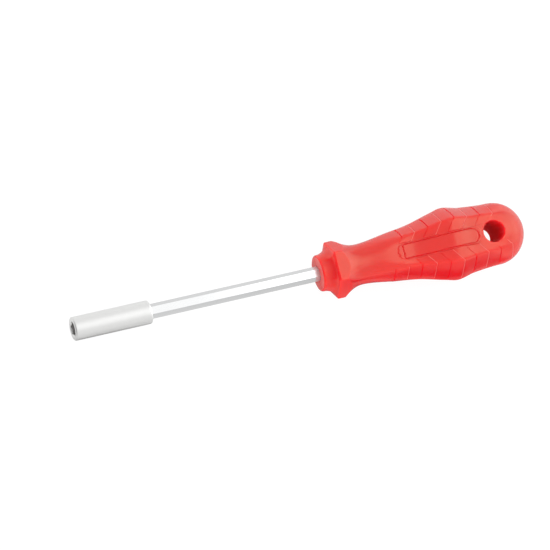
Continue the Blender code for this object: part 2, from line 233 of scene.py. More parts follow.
# Camera, which stands far off with a long lens, its sensor and lens in millimetres
CAMERA_AT = (-1.14948, -0.33536, 3.14472)
CAMERA_AZIMUTH = math.radians(-73.399)
CAMERA_ELEVATION = math.radians(69.246)
CAMERA_ROLL = math.radians(59.884)
CAMERA_SENSOR = 36
CAMERA_LENS = 458.2
CAMERA_NEAR = 0.05

# The tool's own axes in the frame: the retaining ring turns about the tool's axis
ring_turn = frame["joints"][0]
ALONG = Vector(ring_turn["axis"]).normalized()
ACROSS = Vector((0, 1, 0))
UPWARD = ALONG.cross(ACROSS)
TOOL = Matrix((ALONG, ACROSS, UPWARD)).transposed().to_4x4()
TOOL.translation = Vector(ring_turn["pos_m"]) - RING_AT * ALONG


def activate(obj):
    bpy.ops.object.select_all(action="DESELECT")
    obj.select_set(True)
    bpy.context.view_layer.objects.active = obj


def start_edit(obj):
    activate(obj)
    bpy.ops.object.mode_set(mode="EDIT")
    bpy.ops.mesh.select_mode(type="EDGE")


def end_edit():
    bpy.ops.object.mode_set(mode="OBJECT")


def added(name):
    """The primitive that was just added, with its place put into its mesh."""
    obj = bpy.context.object
    obj.name = name
    obj.data.name = name
    bpy.ops.object.transform_apply(location=True, rotation=True, scale=True)
    return obj


def cylinder(name, radius, start, end, sides=TURNED_STEPS):
    """A cylinder along the tool's axis. With six sides, its flats face up and down."""
    bpy.ops.object.select_all(action="DESELECT")
    bpy.ops.mesh.primitive_cylinder_add(
        vertices=sides,
        radius=radius,
        depth=end - start,
        location=((start + end) / 2, 0, 0),
        rotation=(0, QUARTER, 0),
    )
    return added(name)


def put_in_frame(obj):
    activate(obj)
    obj.matrix_world = TOOL
    bpy.ops.object.transform_apply(location=True, rotation=True, scale=True)


def boolean(target, operation, other):
    activate(target)
    modifier = target.modifiers.new(other.name, "BOOLEAN")
    modifier.operation = operation
    modifier.solver = "MANIFOLD"
    modifier.object = other
    bpy.ops.object.modifier_apply(modifier=modifier.name)
    bpy.data.objects.remove(other)


def copy_of(obj, name):
    copied = bpy.data.objects.new(name, obj.data.copy())
    bpy.context.scene.collection.objects.link(copied)
    return copied


def smooth(obj):
    """Shades the round forms smooth and keeps the flat ones flat."""
    activate(obj)
    bpy.ops.object.shade_smooth_by_angle(angle=SMOOTH_BELOW)
    weighted = obj.modifiers.new("weighted_normals", "WEIGHTED_NORMAL")
    weighted.keep_sharp = True
    bpy.ops.object.modifier_apply(modifier=weighted.name)


def bevel_edges(obj, at_x, size, segments):
    """Bevels the ring of edges that lies at one place along the tool's axis."""
    start_edit(obj)
    bpy.ops.mesh.select_all(action="DESELECT")
    end_edit()
    vertices = obj.data.vertices
    for edge in obj.data.edges:
        edge.select = all(abs(vertices[v].co.x - at_x) < MERGE_WITHIN for v in edge.vertices)
    start_edit(obj)
    bpy.ops.mesh.bevel(offset=size, segments=segments, affect="EDGES")
    end_edit()


def bit_sleeve():
    """The turned sleeve, bored to the hex of the bits, with a groove for the retaining ring."""
    sleeve = cylinder("bit_sleeve", HOLDER_DIAMETER / 2, 0, HOLDER_LENGTH)
    bevel_edges(sleeve, 0, MOUTH_CHAMFER, 1)
    bevel_edges(sleeve, HOLDER_LENGTH, REAR_ROUND, ARC_STEPS)

    corner = SOCKET_FLATS / 2 / math.cos(HALF_FACET)
    bore = cylinder("hex_bore", corner, -CUT_PAST, HOLDER_LENGTH + CUT_PAST, sides=6)
    boolean(sleeve, "DIFFERENCE", bore)

    groove = cylinder(
        "ring_groove",
        RING_RADIUS + GROOVE_HALF_WIDTH,
        RING_AT - GROOVE_HALF_WIDTH,
        RING_AT + GROOVE_HALF_WIDTH,
    )
    boolean(sleeve, "DIFFERENCE", groove)

    wide = corner + SOCKET_LEAD_IN / 2
    bpy.ops.object.select_all(action="DESELECT")
    bpy.ops.mesh.primitive_cone_add(
        vertices=TURNED_STEPS,
        radius1=wide + CUT_PAST,
        radius2=0,
        depth=wide + CUT_PAST,
        location=((wide - CUT_PAST) / 2, 0, 0),
        rotation=(0, QUARTER, 0),
    )
    boolean(sleeve, "DIFFERENCE", added("mouth_lead_in"))
    put_in_frame(sleeve)
    smooth(sleeve)
    return sleeve


def split_ring():
    """A wire ring with a gap, closed at its two ends."""
    bpy.ops.object.select_all(action="DESELECT")
    bpy.ops.mesh.primitive_circle_add(
        vertices=WIRE_SIDES,
        radius=RING_WIRE / 2,
        fill_type="NGON",
        location=(RING_AT, RING_RADIUS * math.cos(RING_GAP / 2), RING_RADIUS * math.sin(RING_GAP / 2)),
        rotation=(RING_GAP / 2, 0, 0),
    )
    ring = added("split_ring")
    start_edit(ring)
    bpy.ops.mesh.select_all(action="SELECT")
    bpy.ops.mesh.spin(
        steps=RING_STEPS,
        angle=2 * math.pi - RING_GAP,
        center=(RING_AT, 0, 0),
        axis=(1, 0, 0),
    )
    bpy.ops.mesh.select_all(action="SELECT")
    bpy.ops.mesh.normals_make_consistent(inside=False)
    end_edit()
    put_in_frame(ring)
    smooth(ring)
    return ring


def plain_bar(name):
    """A copy of the frame's shank, with its loose triangles made whole faces."""
    bar = copy_of(frame["nodes"]["shank"], name)
    start_edit(bar)
    bpy.ops.mesh.select_all(action="SELECT")
    bpy.ops.mesh.remove_doubles(threshold=MERGE_WITHIN)
    bpy.ops.mesh.dissolve_limited(angle_limit=FLAT_WITHIN)
    end_edit()
    return bar


def shank_bar():
    """The hex bar with the sharpness taken off its edges."""
    bar = plain_bar("shank_bar")
    start_edit(bar)
    bpy.ops.mesh.select_all(action="DESELECT")
    bpy.ops.mesh.edges_select_sharp(sharpness=SHARP_FROM)
    bpy.ops.mesh.bevel(offset=SHANK_EDGE, segments=2, affect="EDGES")
    end_edit()
    smooth(bar)
    return bar


def smooth_step(start, end, x):
    share = min(max((x - start) / (end - start), 0), 1)
    return share * share * (3 - 2 * share)


def spread(start, end, steps):
    return [start + (end - start) * step / steps for step in range(steps + 1)]


def profile_slope(index):
    """Slope of the grip's profile at one of its points, level where the profile turns back."""
    if index in (0, len(GRIP_PROFILE) - 1):
        return 0
    (x0, r0), (x1, r1), (x2, r2) = GRIP_PROFILE[index - 1 : index + 2]
    before = (r1 - r0) / (x1 - x0)
    after = (r2 - r1) / (x2 - x1)
    return 0 if before * after <= 0 else 2 * before * after / (before + after)


def corner_radius(x):
    """Radius of the grip at the corners of its hexagon: a smooth profile, then a half-round butt."""
    if x >= DOME_CENTRE:
        return math.sqrt(max(BUTT_RADIUS**2 - (x - DOME_CENTRE) ** 2, 0))
    index = max(i for i, (start, _) in enumerate(GRIP_PROFILE) if i == 0 or start <= x)
    (x0, r0), (x1, r1) = GRIP_PROFILE[index : index + 2]
    span = x1 - x0
    t = (x - x0) / span
    bend = profile_slope(index) * t * (1 - t) ** 2 - profile_slope(index + 1) * t * t * (1 - t)
    return r0 + (r1 - r0) * smooth_step(x0, x1, x) + span * bend


def from_panel(angle):
    """Angle round the axis to the middle of the nearer panel, above or below."""
    return min(abs(angle - panel) for panel in PANEL_ANGLES)


def hexagon_radius(offset, corner, edge, panel_half):
    """Radius, at an angle from a panel's middle, of a hexagon with two panels and rounded edges."""
    half, middle = panel_half, 0
    if offset > panel_half:
        half = (QUARTER - panel_half) / 2
        middle = panel_half + half
    from_corner = half - abs(offset - middle)
    arc_centre = corner - edge
    arc_end = math.atan2(edge * math.sin(half), arc_centre + edge * math.cos(half))
    if from_corner > arc_end:
        flat = arc_centre * math.cos(half) + edge
        return flat / math.cos(offset - middle)
    aside = arc_centre * math.sin(from_corner)
    return arc_centre * math.cos(from_corner) + math.sqrt(edge**2 - aside**2)


def panel_half_angle(x):
    """Half the angle that a panel takes up, which grows from the guard's regular hexagon to the grip."""
    return HALF_FACET + (PANEL_HALF_ANGLE - HALF_FACET) * smooth_step(NECK_AT, GRIP_AT, x)


def grip_radius(x, offset):
    """Radius of the grip without its tread: round at the neck, softly faceted, then oval at the butt."""
    corner = corner_radius(x)
    edge = corner + min(GRIP_EDGE_RADIUS - corner, 0) * smooth_step(NECK_AT, GRIP_AT, x)
    half = panel_half_angle(x)
    faceted = hexagon_radius(offset, corner, edge, half)
    if corner < MERGE_WITHIN:
        return faceted
    flat = hexagon_radius(0, corner, edge, half)
    oval = 1 / math.hypot(math.cos(offset) / flat, math.sin(offset) / corner)
    share = OVAL_SHARE + (1 - OVAL_SHARE) * smooth_step(OVAL_FROM, OVAL_TO, x)
    return faceted + (oval - faceted) * share


def sweep(station, offset):
    """How far the bands sweep towards the tip, at an angle from the middle of a panel."""
    half = panel_half_angle(station)
    if offset >= half:
        return 0
    fade = smooth_step(NECK_AT, TREAD_START, station) - smooth_step(TREAD_END, HANDLE_LENGTH, station)
    inside = grip_radius(station, 0) * (math.tan(half) - math.tan(offset))
    return -TREAD_SLANT * inside * fade


def strip_angle(station, half_width):
    """Angle from the middle of a panel at which a swept ring is that far to the side."""
    angle = 0
    for _ in range(SWEEP_ROUNDS):
        flat = grip_radius(station + sweep(station, angle), 0)
        angle = math.atan2(half_width, flat)
    return angle


def column_angles(station):
    """Angles round a ring, once round, with columns close together at the edges of strips and facets."""
    place = min(max(station, NECK_AT), TREAD_END)
    half = panel_half_angle(place)
    inner = strip_angle(place, (PANEL_STRIP - TREAD_WALL) / 2)
    outer = strip_angle(place, (PANEL_STRIP + TREAD_WALL) / 2)
    offsets = spread(0, inner, STRIP_COLUMNS)
    offsets += spread(inner, outer, WALL_COLUMNS)[1:]
    near_edge = max(half - EDGE_SPREAD, (outer + half) / 2)
    offsets += spread(outer, near_edge, PANEL_COLUMNS)[1:]
    offsets += spread(near_edge, half, EDGE_COLUMNS // 2)[1:]
    offsets += spread(half, half + EDGE_SPREAD, EDGE_COLUMNS // 2)[1:]
    offsets += spread(half + EDGE_SPREAD, QUARTER - EDGE_SPREAD, SIDE_COLUMNS)[1:]
    offsets += spread(QUARTER - EDGE_SPREAD, QUARTER, EDGE_COLUMNS // 2)[1:]
    angles = []
    for panel in PANEL_ANGLES:
        angles += [panel - offset for offset in reversed(offsets[1:])]
        angles += [panel + offset for offset in offsets[:-1]]
    return angles + [angles[0] + 2 * math.pi]


def band_height(station, odd):
    """Height, from 0 to 1, of the even or the odd bands at a place along the grip."""
    height = 0
    for band in range(int(odd), TREAD_BANDS, 2):
        start = TREAD_START + band * TREAD_PITCH
        end = start + TREAD_PITCH
        rise = smooth_step(start - TREAD_WALL / 2, start + TREAD_WALL / 2, station)
        height += rise - smooth_step(end - TREAD_FALL / 2, end + TREAD_FALL / 2, station)
    return height


def tread_share(station, x, y, offset):
    """How far the tread stands out: not on the plain strips, round the hole or at the sides."""
    share = smooth_step((PANEL_STRIP - TREAD_WALL) / 2, (PANEL_STRIP + TREAD_WALL) / 2, abs(y))
    if station < TREAD_START + TREAD_PITCH:
        share *= smooth_step(PANEL_HALF_ANGLE, PANEL_HALF_ANGLE + EDGE_SPREAD / 4, offset)
    clear = HOLE_SURROUND / 2
    share *= smooth_step(clear, clear + TREAD_WALL, math.hypot(x - HOLE_AT, y))
    return share * (1 - smooth_step(QUARTER - 2 * EDGE_SPREAD, QUARTER - EDGE_SPREAD / 2, offset))


def tread_height(station, x, y, offset):
    """Bands stand proud by turns on the -Y and +Y sides."""
    return TREAD_HEIGHT * band_height(station, y > 0) * tread_share(station, x, y, offset)


def tread_line(x, y, z):
    """1 on a line where a band of the tread ends, -1 where one starts, 0 elsewhere."""
    offset = from_panel(math.atan2(z, y) % (2 * math.pi))
    station = x
    for _ in range(SWEEP_ROUNDS):
        station = x - sweep(station, offset)
    edge = TREAD_START + round((station - TREAD_START) / TREAD_PITCH) * TREAD_PITCH
    if abs(station - edge) > TREAD_LINE / 2:
        return 0
    drop = 0
    for side in (-1, 1):
        place = edge + side * TREAD_PITCH / 2
        drop -= side * band_height(place, y > 0) * tread_share(place, x, y, offset)
    return round(drop)


def nose_and_guard_rings():
    """Round edge of the nose, flare that turns hexagonal, guard with its shoulder, slope to the neck."""
    angles = column_angles(NECK_AT)
    offsets = [from_panel(a % (2 * math.pi)) for a in angles]
    rings = []
    for arc in spread(math.pi, QUARTER, ARC_STEPS):
        x = NOSE_ROUND + NOSE_ROUND * math.cos(arc)
        radius = NOSE_RADIUS - NOSE_ROUND + NOSE_ROUND * math.sin(arc)
        rings.append([(x, radius, a) for a in angles])
    guard = [hexagon_radius(o, GUARD_CORNER_RADIUS, GUARD_EDGE_RADIUS, HALF_FACET) for o in offsets]
    for turn in spread(0, QUARTER, FLARE_STEPS)[1:]:
        x = NOSE_ROUND + (GUARD_FRONT - NOSE_ROUND) * math.sin(turn)
        grown = 1 - math.cos(turn)
        flare = [NOSE_RADIUS + (g - GUARD_SHOULDER - NOSE_RADIUS) * grown for g in guard]
        rings.append([(x, radius, a) for radius, a in zip(flare, angles)])
    for turn in spread(0, QUARTER, ARC_STEPS)[1:]:
        x = GUARD_FRONT + GUARD_SHOULDER * (1 - math.cos(turn))
        drop = GUARD_SHOULDER * (1 - math.sin(turn))
        rings.append([(x, g - drop, a) for g, a in zip(guard, angles)])
    slope = NECK_AT - GUARD_CORNER_END
    fall = GUARD_CORNER_RADIUS - NECK_RADIUS
    for left in spread(1, 0, SLOPE_STEPS):
        shares = [left * math.sqrt((g - NECK_RADIUS) / fall) for g in guard]
        places = zip(shares, angles)
        rings.append([(NECK_AT - slope * s, NECK_RADIUS + fall * s**2, a) for s, a in places])
    return rings


def grip_stations():
    """Places of the rings along the grip, close together at the walls of the tread."""
    stations = spread(NECK_AT, TREAD_START - TREAD_FALL / 2, NECK_STEPS)[1:]
    for band in range(TREAD_BANDS + 1):
        edge = TREAD_START + band * TREAD_PITCH
        stations += spread(edge - TREAD_FALL / 2, edge + TREAD_FALL / 2, WALL_STEPS)[1:]
        if band < TREAD_BANDS:
            stations += spread(stations[-1], edge + TREAD_PITCH - TREAD_FALL / 2, PLATEAU_STEPS)[1:]
    first_turn = math.asin((stations[-1] - DOME_CENTRE) / BUTT_RADIUS)
    for turn in spread(first_turn, QUARTER, DOME_STEPS)[1:]:
        stations.append(DOME_CENTRE + BUTT_RADIUS * math.sin(turn))
    return stations


def grip_rings():
    """Rings from the neck to the butt, swept towards the tip on the panels as the tread is."""
    rings = []
    for station in grip_stations():
        ring = []
        for angle in column_angles(station):
            offset = from_panel(angle % (2 * math.pi))
            x = station + sweep(station, offset)
            radius = grip_radius(x, offset)
            radius += tread_height(station, x, radius * math.cos(angle), offset)
            ring.append((x, radius, angle))
        rings.append(ring)
    return rings


def handle_skin():
    """The handle's outside: a grid wrapped round the axis, from the nose to the butt."""
    rings = nose_and_guard_rings() + grip_rings()
    bpy.ops.object.select_all(action="DESELECT")
    bpy.ops.mesh.primitive_grid_add(x_subdivisions=len(rings[0]) - 1, y_subdivisions=len(rings) - 1)
    skin = added("handle_moulding")
    places = [place for ring in rings for place in ring]
    for vertex, (x, radius, angle) in zip(skin.data.vertices, places, strict=True):
        vertex.co = (REACH + x, radius * math.cos(angle), radius * math.sin(angle))
    start_edit(skin)
    bpy.ops.mesh.select_all(action="SELECT")
    bpy.ops.mesh.remove_doubles(threshold=MERGE_WITHIN)
    bpy.ops.mesh.fill_holes(sides=0)
    bpy.ops.mesh.normals_make_consistent(inside=False)
    end_edit()
    return skin


def hole_cutter():
    """A bore from panel to panel with rounded rims, grown from a cylinder ring by ring at both ends."""
    face = grip_radius(HOLE_AT, 0)
    bore = HOLE_DIAMETER / 2
    bpy.ops.object.select_all(action="DESELECT")
    bpy.ops.mesh.primitive_cylinder_add(
        vertices=TURNED_STEPS,
        radius=bore,
        depth=2 * (face - HOLE_RIM),
        location=(REACH + HOLE_AT, 0, 0),
    )
    cutter = added("hanging_hole")
    rim = []
    for arc in spread(0, QUARTER, ARC_STEPS)[1:]:
        radius = bore + HOLE_RIM * (1 - math.cos(arc))
        height = face - HOLE_RIM + HOLE_RIM * math.sin(arc)
        rim.append((radius, height))
    rim.append((bore + HOLE_RIM, face + CUT_PAST))
    for side in (1, -1):
        for radius, height in rim:
            grow_cap(cutter, side, radius, height)
    put_in_frame(cutter)
    return cutter


def grow_cap(cutter, side, radius, height):
    """Extrudes the cutter's upper or lower cap to a height and resizes it to a radius."""
    start_edit(cutter)
    bpy.ops.mesh.select_mode(type="FACE")
    bpy.ops.mesh.select_all(action="DESELECT")
    end_edit()
    cap = max(cutter.data.polygons, key=lambda face: side * face.center.z)
    cap.select = True
    rise = height - abs(cap.center.z)
    centre = Vector((REACH + HOLE_AT, 0))
    grown = radius / (cutter.data.vertices[cap.vertices[0]].co.xy - centre).length
    start_edit(cutter)
    bpy.ops.mesh.select_mode(type="FACE")
    bpy.ops.mesh.extrude_region_move(TRANSFORM_OT_translate={"value": (0, 0, side * rise)})
    bpy.ops.transform.resize(value=(grown, grown, 1), center_override=(REACH + HOLE_AT, 0, 0))
    end_edit()


def pill_outline(front, rear, width, front_round):
    """Outline of a long field, half round at its rear, with corners of that radius at its front."""
    half = width / 2
    points = []
    for arc in spread(-QUARTER, QUARTER, 4 * ARC_STEPS):
        points.append((rear - half + half * math.cos(arc), half * math.sin(arc)))
    corner = []
    for arc in spread(QUARTER, math.pi, 2 * ARC_STEPS):
        x = front + front_round * (1 + math.cos(arc))
        y = half - front_round * (1 - math.sin(arc))
        corner.append((x, y))
    points += corner
    points += [(x, -y) for x, y in reversed(corner) if y > 0]
    return points


def pill_prism(name, outline, past):
    """A prism through both panels, in an outline measured from the handle's nose."""
    bpy.ops.object.select_all(action="DESELECT")
    bpy.ops.mesh.primitive_circle_add(vertices=len(outline), fill_type="NGON")
    prism = added(name)
    reach = BELLY_RADIUS + past
    for vertex, (x, y) in zip(prism.data.vertices, outline, strict=True):
        vertex.co = (REACH + x, y, -reach)
    start_edit(prism)
    bpy.ops.mesh.select_all(action="SELECT")
    bpy.ops.mesh.extrude_region_move(TRANSFORM_OT_translate={"value": (0, 0, 2 * reach)})
    bpy.ops.mesh.select_all(action="SELECT")
    bpy.ops.mesh.normals_make_consistent(inside=False)
    end_edit()
    return prism


def fattened(obj, name, outward):
    """A copy with its skin moved outward."""
    copied = copy_of(obj, name)
    start_edit(copied)
    bpy.ops.mesh.select_all(action="SELECT")
    bpy.ops.transform.shrink_fatten(value=outward, use_even_offset=True)
    end_edit()
    return copied


def field_pad(skin):
    """The thin pad under the label field, as a slice of a slightly fatter body."""
    pad = fattened(skin, "field_pad", PAD_HEIGHT)
    outline = pill_outline(PAD_FRONT, PAD_REAR, PAD_WIDTH, PAD_WIDTH / 2)
    boolean(pad, "INTERSECT", pill_prism("pad_outline", outline, CUT_PAST))
    return pad


def field_outline(outward):
    """Outline of the label field, moved outward."""
    return pill_outline(
        FIELD_FRONT - outward,
        FIELD_REAR + outward,
        FIELD_WIDTH + 2 * outward,
        FIELD_FRONT_ROUND + outward,
    )


def field_line(skin):
    """The line round the label field, cut as deep as a body sunk below the pad's face leaves it."""
    line = pill_prism("field_line", field_outline(FIELD_LINE / 2), CUT_PAST)
    boolean(line, "DIFFERENCE", pill_prism("field_inside", field_outline(-FIELD_LINE / 2), 2 * CUT_PAST))
    boolean(line, "DIFFERENCE", fattened(skin, "sunk_body", PAD_HEIGHT - FIELD_DEPTH))
    return line


def nose_gap():
    """The gap that shows round the shank where it enters the handle."""
    corner = (DRIVE_FLATS / 2 + NOSE_GAP) / math.cos(HALF_FACET)
    return cylinder("nose_gap", corner, REACH - CUT_PAST, REACH + NOSE_GAP_DEPTH, sides=6)


def parting_line():
    """The fine line across the nose where the mould's two halves met."""
    bpy.ops.object.select_all(action="DESELECT")
    bpy.ops.mesh.primitive_cube_add(
        size=1,
        location=(REACH, 0, 0),
        scale=(2 * PARTING_DEPTH, 2 * NOSE_RADIUS, PARTING_LINE),
    )
    return added("parting_line")


def handle_moulding():
    """The whole handle, with the pocket that the shank sits in."""
    handle = handle_skin()
    line = field_line(handle)
    boolean(handle, "UNION", field_pad(handle))
    boolean(handle, "DIFFERENCE", line)
    boolean(handle, "DIFFERENCE", nose_gap())
    boolean(handle, "DIFFERENCE", parting_line())
    put_in_frame(handle)
    boolean(handle, "DIFFERENCE", hole_cutter())
    bar = plain_bar("plain_bar")
    boolean(handle, "DIFFERENCE", fattened(bar, "shank_seat", SEAT_CLEARANCE))
    bpy.data.objects.remove(bar)
    smooth(handle)
    return handle


def node_of(owner, kind, **settings):
    """A new node of a material or of the world, with the values of some of its sockets."""
    node = owner.node_tree.nodes.new(kind)
    for name, value in settings.items():
        node.inputs[name.replace("_", " ")].default_value = value
    return node


def link(owner, source, socket):
    owner.node_tree.links.new(source, socket)


def ramped(owner, source, start, end, first, last):
    """A number that goes from the first to the last value as the source goes from start to end."""
    reach = node_of(owner, "ShaderNodeMapRange", From_Min=start, From_Max=end, To_Min=first, To_Max=last)
    link(owner, source, reach.inputs["Value"])
    return reach


def new_finish(name, colour, metallic, roughness):
    """A new material and its shader."""
    material = bpy.data.materials.new(name)
    material.use_nodes = True
    shader = material.node_tree.nodes["Principled BSDF"]
    shader.inputs["Base Color"].default_value = (*colour, 1)
    shader.inputs["Metallic"].default_value = metallic
    shader.inputs["Roughness"].default_value = roughness
    return material, shader


def tool_place(material):
    """The place of a point of the surface in the tool's own axes."""
    back = TOOL.inverted()
    coordinates = node_of(material, "ShaderNodeTexCoord")
    mapping = node_of(material, "ShaderNodeMapping", Location=back.translation, Rotation=back.to_euler())
    link(material, coordinates.outputs["Object"], mapping.inputs["Vector"])
    return mapping.outputs["Vector"]


def grain(material, size, stretch=(1, 1, 1), detail=4):
    """Noise laid along the tool's axes, with grains of that size."""
    stretching = node_of(material, "ShaderNodeMapping", Scale=stretch)
    noise = node_of(material, "ShaderNodeTexNoise", Scale=1 / size, Detail=detail)
    link(material, tool_place(material), stretching.inputs["Vector"])
    link(material, stretching.outputs["Vector"], noise.inputs["Vector"])
    return noise.outputs["Fac"]


def change_along(material, socket, start, end, first, last):
    """Lets one of the shader's numbers change between two places along the tool."""
    split = node_of(material, "ShaderNodeSeparateXYZ")
    link(material, tool_place(material), split.inputs["Vector"])
    reach = ramped(material, split.outputs["X"], start, end, first, last)
    link(material, reach.outputs["Result"], socket)


def vary(material, source, socket, low, high):
    """Lets a noise move one of the shader's numbers between two values."""
    reach = ramped(material, source, *NOISE_RANGE, low, high)
    link(material, reach.outputs["Result"], socket)


def tint(material, source, shader, dark, light):
    """Lets a noise move the base colour between two colours."""
    ramp = node_of(material, "ShaderNodeValToRGB")
    for stop, position, colour in zip(ramp.color_ramp.elements, NOISE_RANGE, (dark, light)):
        stop.position = position
        stop.color = (*colour, 1)
    link(material, source, ramp.inputs["Fac"])
    link(material, ramp.outputs["Color"], shader.inputs["Base Color"])


def relief(material, source, shader, strength, depth):
    """Lets a noise roughen the surface."""
    bump = node_of(material, "ShaderNodeBump", Strength=strength, Distance=depth)
    link(material, source, bump.inputs["Height"])
    link(material, bump.outputs["Normal"], shader.inputs["Normal"])


def let_light_in(shader):
    """Lets red light spread inside the plastic."""
    shader.inputs["Subsurface Weight"].default_value = 1.0
    shader.inputs["Subsurface Radius"].default_value = (1, 0.1, 0.1)
    shader.inputs["Subsurface Scale"].default_value = 6 * MM


def red_plastic():
    material, shader = new_finish("red_plastic", (0.7, 0.008, 0.016), 0, 0.17)
    let_light_in(shader)
    shader.inputs["Specular IOR Level"].default_value = 1.0
    shader.inputs["Specular Tint"].default_value = (1, 0.95, 0.65, 1)
    flow = grain(material, 14 * MM, detail=2)
    tint(material, flow, shader, (0.69, 0.007, 0.015), (0.71, 0.009, 0.017))
    vary(material, flow, shader.inputs["Roughness"], 0.15, 0.19)
    return material


def dull_plastic(name, colour):
    """The same plastic without its gloss, in a colour of its own: paler in the bore, where it paints light,
    and darker on the fine lines, where it paints shade.
    """
    material, shader = new_finish(name, colour, 0, 0.6)
    let_light_in(shader)
    shader.inputs["Specular IOR Level"].default_value = 0.05
    dark = [(1 - DULL_DRIFT) * channel for channel in colour]
    light = [(1 + DULL_DRIFT) * channel for channel in colour]
    tint(material, grain(material, 2 * MM), shader, dark, light)
    return material


def painted_highlight_plastic():
    """The same plastic, paler: a painted highlight on the edges where the bands of the tread end."""
    material, shader = new_finish("painted_highlight_plastic", (0.73, 0.065, 0.058), 0, 0.3)
    tint(material, grain(material, 3 * MM), shader, (0.72, 0.045, 0.04), (0.74, 0.085, 0.075))
    return material


def nose_sheen_plastic():
    """The same plastic, matt and paler: a painted sheen on the flat face of the nose."""
    material, shader = new_finish("nose_sheen_plastic", (0.74, 0.09, 0.08), 0, 0.3)
    tint(material, grain(material, 3 * MM), shader, (0.73, 0.06, 0.055), (0.75, 0.12, 0.105))
    return material


def satin_steel():
    material, shader = new_finish("satin_steel", (0.96, 0.96, 0.95), 1, 0.44)
    blasted = grain(material, 0.25 * MM)
    tint(material, grain(material, 3 * MM), shader, (0.95, 0.95, 0.94), (0.97, 0.97, 0.96))
    vary(material, blasted, shader.inputs["Roughness"], 0.4, 0.48)
    relief(material, blasted, shader, 0.2, 0.02 * MM)
    return material


def bright_chrome():
    material, shader = new_finish("bright_chrome", (0.86, 0.865, 0.87), 1, 0.12)
    drawn = grain(material, 0.3 * MM, stretch=(0.02, 1, 1))
    tint(material, grain(material, 9 * MM), shader, (0.85, 0.855, 0.86), (0.87, 0.875, 0.88))
    change_along(material, shader.inputs["Roughness"], DULL_FROM, DULL_TO, 0.12, 0.6)
    relief(material, drawn, shader, 0.08, 0.01 * MM)
    return material


# A darker copy of the sleeve's steel: painted shade inside the socket
def socket_shade_steel():
    material, shader = new_finish("socket_shade_steel", (0.75, 0.74, 0.73), 1, 0.5)
    broached = grain(material, 0.3 * MM, stretch=(0.05, 1, 1))
    tint(material, broached, shader, (0.7, 0.69, 0.68), (0.8, 0.79, 0.78))
    relief(material, broached, shader, 0.2, 0.02 * MM)
    return material


def dull_nickel():
    material, shader = new_finish("dull_nickel", (0.42, 0.41, 0.39), 1, 0.4)
    tint(material, grain(material, 0.8 * MM), shader, (0.36, 0.35, 0.33), (0.48, 0.47, 0.45))
    vary(material, grain(material, 0.2 * MM), shader.inputs["Roughness"], 0.3, 0.5)
    return material


def spring_wire():
    material, shader = new_finish("spring_wire", (0.4, 0.4, 0.42), 1, 0.35)
    tint(material, grain(material, 0.5 * MM), shader, (0.34, 0.34, 0.36), (0.46, 0.46, 0.48))
    vary(material, grain(material, 0.15 * MM), shader.inputs["Roughness"], 0.28, 0.42)
    return material


def dress(obj, body, slot, *materials):
    """Gives a piece its finishes and the body that it rides. The slot is not used."""
    obj.data.materials.clear()
    for material in materials:
        obj.data.materials.append(material)
    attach(obj, body)


def finish_socket(sleeve):
    """Gives the inside of the socket the sleeve's second finish, a darker steel that paints shade there."""
    inside = HOLDER_DIAMETER / 2 - SOCKET_WALL
    back = TOOL.inverted()
    for face in sleeve.data.polygons:
        place = back @ face.center
        inward = -(back.to_3x3() @ face.normal).yz.dot(place.yz.normalized())
        if inward > SOCKET_INWARD_FROM and place.yz.length < inside:
            face.material_index = SOCKET


def from_field_line(x, y):
    """Distance from the middle of the line round a label field."""
    half = FIELD_WIDTH / 2
    middle = (FIELD_FRONT + FIELD_REAR) / 2
    corner = half if x > middle else FIELD_FRONT_ROUND
    past_x = abs(x - middle) - (FIELD_REAR - middle - corner)
    past_y = abs(y) - (half - corner)
    outside = math.hypot(max(past_x, 0), max(past_y, 0))
    inside = min(max(past_x, past_y), 0)
    return abs(outside + inside - corner)


def finish_details(handle):
    """Picks the finish of the hanging hole's bore, with painted light; of the lines of field and tread,
    with painted shade on the field's line and where bands start and painted highlights where they end; and
    of the nose's flat face, with a painted sheen.
    """
    back = TOOL.inverted()
    centre = Vector((REACH + HOLE_AT, 0))
    for face in handle.data.polygons:
        place = back @ face.center
        upward = abs((back.to_3x3() @ face.normal).z)
        near_hole = (place.xy - centre).length < HOLE_DIAMETER / 2 + HOLE_RIM / 2
        x, y, z = place.x - REACH, place.y, place.z
        step = tread_line(x, y, z)
        if near_hole and upward < HOLE_UPWARD_BELOW:
            face.material_index = BORE
        elif step < 0 or from_field_line(x, y) < FIELD_LINE / 2 + MERGE_WITHIN:
            face.material_index = SHADE_LINE
        elif step > 0:
            face.material_index = HIGHLIGHT_LINE
        elif x < MERGE_WITHIN:
            face.material_index = NOSE_SHEEN


def painted_shadow(material, place, radii, darkest):
    """1 all over the floor, with a soft oval painted shadow that goes down to the darkest value."""
    coordinates = node_of(material, "ShaderNodeTexCoord")
    mapping = node_of(material, "ShaderNodeMapping", Location=place, Scale=radii)
    mapping.vector_type = "TEXTURE"
    spot = node_of(material, "ShaderNodeTexGradient")
    spot.gradient_type = "SPHERICAL"
    link(material, coordinates.outputs["Object"], mapping.inputs["Vector"])
    link(material, mapping.outputs["Vector"], spot.inputs["Vector"])
    return ramped(material, spot.outputs["Fac"], 0, SPOT_CORE, 1, darkest).outputs["Result"]


def combined(owner, operation, first, second):
    """The sum or the product of two numbers."""
    both = node_of(owner, "ShaderNodeMath")
    both.operation = operation
    link(owner, first, both.inputs[0])
    link(owner, second, both.inputs[1])
    return both.outputs["Value"]


def added_shaders(owner, first, second):
    both = node_of(owner, "ShaderNodeAddShader")
    link(owner, first, both.inputs[0])
    link(owner, second, both.inputs[1])
    return both.outputs["Shader"]


